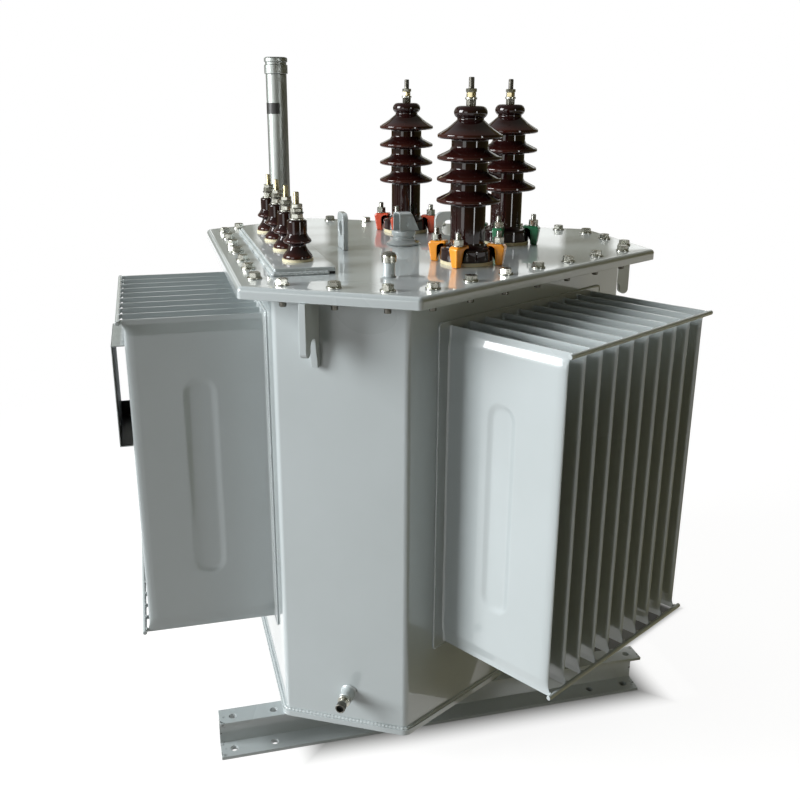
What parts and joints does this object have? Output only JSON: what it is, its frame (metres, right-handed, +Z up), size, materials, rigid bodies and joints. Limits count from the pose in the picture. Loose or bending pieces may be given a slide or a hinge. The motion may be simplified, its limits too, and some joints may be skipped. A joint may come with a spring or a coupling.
{
  "type": "power transformer",
  "caption": "Oil-filled three-phase distribution transformer: six-sided steel tank on channel rails, cooling fin banks, bolted cover with porcelain bushings and a gauge tube.",
  "frame": {"origin": "floor level under the tank's axis, at the centre of the rails' floor holes", "axes": "+Z up, X along the two channel rails, the low-voltage row at -X"},
  "size_m": [1.0427, 1.1794, 1.264],
  "materials": {
    "grey_paint": "gloss light grey enamel on folded steel",
    "brown_porcelain": "dark brown glazed porcelain",
    "zinc_plate": "bright zinc and nickel plate",
    "cream_seal": "cream sealing ring",
    "black_gasket": "dark oil-proof gasket",
    "yellow_clamp": "yellow painted casting",
    "green_clamp": "green painted casting",
    "red_clamp": "red painted casting",
    "gauge_metal": "satin aluminium tube"
  },
  "bodies": {
    "root": {"rail_front": "grey_paint", "rail_back_side": "grey_paint", "bottom_plate": "grey_paint", "front_wall": "grey_paint", "right_wall": "grey_paint", "back_wall": "grey_paint", "left_wall_strips": "grey_paint", "front_wall_strips": "grey_paint", "back_wall_strips": "grey_paint", "left_fin_bank": "grey_paint", "front_fin_bank": "grey_paint", "back_fin_bank": "grey_paint", "left_tie_rods": "grey_paint", "front_tie_rods": "grey_paint", "back_tie_rods": "grey_paint", "tank_flange": "grey_paint", "cover_gasket": "black_gasket", "cover": "grey_paint", "cover_bolts": "zinc_plate", "hv_seals": "cream_seal", "hv_insulator_front": "brown_porcelain", "hv_insulator_right": "brown_porcelain", "hv_insulator_back": "brown_porcelain", "hv_studs": "zinc_plate", "hv_clamps_front": "yellow_clamp", "hv_clamps_right": "green_clamp", "hv_clamps_back": "red_clamp", "clamp_bolts": "zinc_plate", "lv_gasket": "black_gasket", "lv_plate": "grey_paint", "lv_seals": "cream_seal", "lv_insulator_1": "brown_porcelain", "lv_insulator_2": "brown_porcelain", "lv_insulator_3": "brown_porcelain", "lv_insulator_4": "brown_porcelain", "lv_studs": "zinc_plate", "gauge_socket": "grey_paint", "gauge_tube": "gauge_metal", "gauge_cap": "gauge_metal", "relief_valve": "grey_paint", "relief_cap": "grey_paint", "filler_neck": "grey_paint", "filler_cap": "zinc_plate", "cover_lugs": "grey_paint", "tank_hooks": "grey_paint", "nameplate_bracket": "grey_paint", "drain_boss": "grey_paint", "drain_nozzle": "zinc_plate"}
  },
  "joints": []
}
